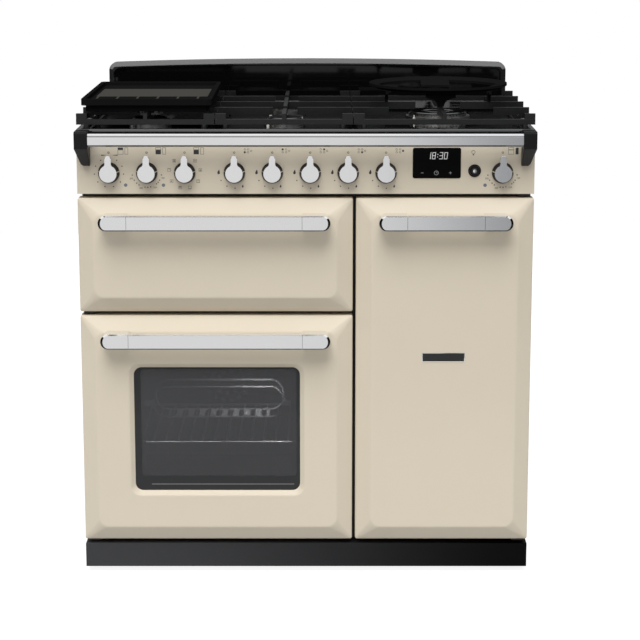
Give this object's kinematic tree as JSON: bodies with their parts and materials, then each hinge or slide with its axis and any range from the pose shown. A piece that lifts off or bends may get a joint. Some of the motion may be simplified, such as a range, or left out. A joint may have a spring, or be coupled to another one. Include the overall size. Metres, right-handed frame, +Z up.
{
  "type": "dual fuel range cooker",
  "caption": "Free-standing dual fuel range cooker: gas hob with cast pan supports, griddle and wok ring over a glide-out grill, a wide windowed oven and a tall oven, with turning knobs.",
  "frame": {"origin": "on the floor, under the middle of the overall width and depth", "axes": "+X to the user's right when facing the doors, +Y towards the wall behind, +Z up"},
  "size_m": [0.8974, 0.648, 0.997],
  "materials": {
    "cream_enamel": "gloss vitreous enamel, warm cream",
    "black_enamel": "gloss black enamel",
    "black_paint": "satin black paint",
    "oven_enamel": "dark grey speckled enamel",
    "brushed_steel": "fine brushed stainless steel",
    "zinc_steel": "zinc plated steel sheet",
    "knob_chrome": "polished chrome, satin front face",
    "chrome_wire": "bright chromed wire",
    "cast_iron": "matte black cast iron",
    "griddle_iron": "grey coated cast iron",
    "burner_alloy": "cast alloy",
    "gas_brass": "plain brass",
    "window_glass": "dark toughened glass",
    "lamp_glass": "clear ribbed lamp glass",
    "display_black": "gloss black touch panel",
    "black_plastic": "satin black moulded plastic",
    "ceramic_white": "glazed ceramic",
    "seal_rubber": "silicone door seal"
  },
  "bodies": {
    "cooker": {"base_frame": "zinc_steel", "burner_bodies": "burner_alloy", "burner_caps": "black_enamel", "control_panel": "cream_enamel", "door_seals": "seal_rubber", "fan_covers": "oven_enamel", "fan_elements": "zinc_steel", "fan_motors": "zinc_steel", "front_frame": "black_paint", "front_rail": "brushed_steel", "gas_rail": "gas_brass", "grill_chamber": "oven_enamel", "grill_element": "zinc_steel", "grill_slides": "zinc_steel", "hinge_brackets": "zinc_steel", "hotplate": "black_enamel", "igniters": "ceramic_white", "levelling_feet": "black_plastic", "main_oven_liner": "oven_enamel", "oven_lamp": "lamp_glass", "oven_shelves": "chrome_wire", "oven_switches": "black_plastic", "plinth": "black_enamel", "rail_end_caps": "black_plastic", "rear_panel": "zinc_steel", "screws": "zinc_steel", "shelf_ladders": "chrome_wire", "side_panels": "black_paint", "splashback": "black_enamel", "tall_oven_liner": "oven_enamel", "timer_display": "display_black"},
    "main_door": {"main_door_panel": "cream_enamel", "main_door_glass": "window_glass", "main_door_liner": "oven_enamel", "main_door_handle": "brushed_steel", "door_rack": "chrome_wire"},
    "tall_door": {"tall_door_panel": "cream_enamel", "tall_door_liner": "oven_enamel", "tall_door_handle": "brushed_steel"},
    "grill_drawer": {"grill_front": "cream_enamel", "grill_handle": "brushed_steel", "grill_carriage": "zinc_steel", "grill_pan": "oven_enamel"},
    "support_left": {"pan_support_left": "cast_iron"},
    "support_centre": {"pan_support_centre": "cast_iron"},
    "support_right": {"pan_support_right": "cast_iron"},
    "griddle_plate": {"griddle": "griddle_iron"},
    "wok_cradle": {"wok_ring": "cast_iron"},
    "lamp_button": {"light_button": "knob_chrome"},
    "main_impeller": {"main_fan": "zinc_steel"},
    "tall_impeller": {"tall_fan": "zinc_steel"},
    "grill_knob_body": {"grill_knob": "knob_chrome"},
    "main_oven_knob_body": {"main_oven_knob": "knob_chrome"},
    "main_mode_knob_body": {"main_mode_knob": "knob_chrome"},
    "gas_knob_1_body": {"gas_knob_1": "knob_chrome"},
    "gas_knob_2_body": {"gas_knob_2": "knob_chrome"},
    "gas_knob_3_body": {"gas_knob_3": "knob_chrome"},
    "gas_knob_4_body": {"gas_knob_4": "knob_chrome"},
    "gas_knob_5_body": {"gas_knob_5": "knob_chrome"},
    "tall_oven_knob_body": {"tall_oven_knob": "knob_chrome"}
  },
  "joints": [
    {"name": "main_door_hinge", "type": "hinge", "parent": "cooker", "child": "main_door", "pos_m": [-0.436, -0.246, 0.3022], "axis": [0, 0, -1], "range_deg": [0, 105]},
    {"name": "tall_door_hinge", "type": "hinge", "parent": "cooker", "child": "tall_door", "pos_m": [0.436, -0.246, 0.41965], "axis": [0, 0, 1], "range_deg": [0, 105]},
    {"name": "grill_drawer_slide", "type": "slide", "parent": "cooker", "child": "grill_drawer", "axis": [0, -1, 0], "range_m": [0, 0.33]},
    {"name": "support_left_lift", "type": "slide", "parent": "cooker", "child": "support_left", "axis": [0, 0, 1], "range_m": [0, 0.15]},
    {"name": "support_centre_lift", "type": "slide", "parent": "cooker", "child": "support_centre", "axis": [0, 0, 1], "range_m": [0, 0.15]},
    {"name": "support_right_lift", "type": "slide", "parent": "cooker", "child": "support_right", "axis": [0, 0, 1], "range_m": [0, 0.15]},
    {"name": "griddle_lift", "type": "slide", "parent": "support_left", "child": "griddle_plate", "axis": [0, 0, 1], "range_m": [0, 0.15]},
    {"name": "wok_ring_lift", "type": "slide", "parent": "support_right", "child": "wok_cradle", "axis": [0, 0, 1], "range_m": [0, 0.12]},
    {"name": "light_button_press", "type": "slide", "parent": "cooker", "child": "lamp_button", "axis": [0, 1, 0], "range_m": [0, 0.003], "stiffness_N_per_m": 400},
    {"name": "main_fan_spin", "type": "hinge", "parent": "cooker", "child": "main_impeller", "pos_m": [-0.1776, 0.194, 0.3022], "axis": [0, 1, 0], "continuous": true},
    {"name": "tall_fan_spin", "type": "hinge", "parent": "cooker", "child": "tall_impeller", "pos_m": [0.2733, 0.194, 0.41965], "axis": [0, 1, 0], "continuous": true},
    {"name": "grill_knob_turn", "type": "hinge", "parent": "cooker", "child": "grill_knob_body", "pos_m": [-0.3852, -0.275, 0.819], "axis": [0, 1, 0], "range_deg": [-150, 150]},
    {"name": "main_oven_knob_turn", "type": "hinge", "parent": "cooker", "child": "main_oven_knob_body", "pos_m": [-0.311, -0.275, 0.819], "axis": [0, 1, 0], "range_deg": [0, 265]},
    {"name": "main_mode_knob_turn", "type": "hinge", "parent": "cooker", "child": "main_mode_knob_body", "pos_m": [-0.2368, -0.275, 0.819], "axis": [0, 1, 0], "range_deg": [0, 315]},
    {"name": "gas_knob_1_turn", "type": "hinge", "parent": "cooker", "child": "gas_knob_1_body", "pos_m": [-0.1396, -0.275, 0.819], "axis": [0, -1, 0], "range_deg": [0, 215]},
    {"name": "gas_knob_2_turn", "type": "hinge", "parent": "cooker", "child": "gas_knob_2_body", "pos_m": [-0.0654, -0.275, 0.819], "axis": [0, -1, 0], "range_deg": [0, 215]},
    {"name": "gas_knob_3_turn", "type": "hinge", "parent": "cooker", "child": "gas_knob_3_body", "pos_m": [0.0088, -0.275, 0.819], "axis": [0, -1, 0], "range_deg": [0, 215]},
    {"name": "gas_knob_4_turn", "type": "hinge", "parent": "cooker", "child": "gas_knob_4_body", "pos_m": [0.083, -0.275, 0.819], "axis": [0, -1, 0], "range_deg": [0, 215]},
    {"name": "gas_knob_5_turn", "type": "hinge", "parent": "cooker", "child": "gas_knob_5_body", "pos_m": [0.1572, -0.275, 0.819], "axis": [0, -1, 0], "range_deg": [0, 215]},
    {"name": "tall_oven_knob_turn", "type": "hinge", "parent": "cooker", "child": "tall_oven_knob_body", "pos_m": [0.3852, -0.275, 0.819], "axis": [0, 1, 0], "range_deg": [0, 265]}
  ]
}
